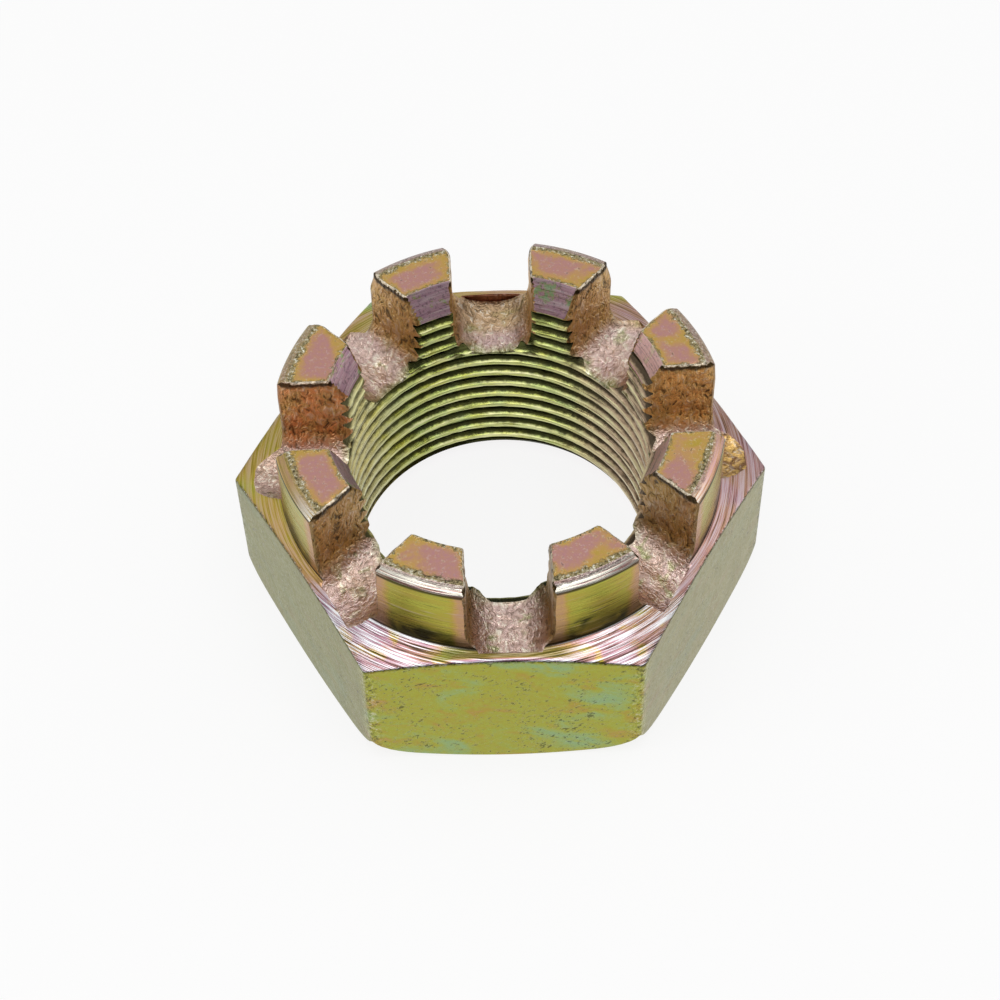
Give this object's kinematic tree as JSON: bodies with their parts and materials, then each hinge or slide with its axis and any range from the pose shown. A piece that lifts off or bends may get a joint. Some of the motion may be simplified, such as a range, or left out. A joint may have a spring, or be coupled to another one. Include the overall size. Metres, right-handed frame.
{
  "type": "hub nut",
  "caption": "Castellated hexagon hub nut with a fine thread, a turned crown with open slots for a split pin, and a yellow zinc finish.",
  "frame": {"origin": "centre of the flat bearing face, on the thread's axis", "axes": "+Z along the thread from the bearing face to the crown, +X through two opposite corners of the hexagon, -Y out of a flat"},
  "size_m": [0.0598, 0.052, 0.0305],
  "materials": {
    "yellow_zinc": "forged and turned steel, zinc plated with an iridescent yellow passivation"
  },
  "bodies": {
    "root": {"hub_nut": "yellow_zinc"}
  },
  "joints": []
}
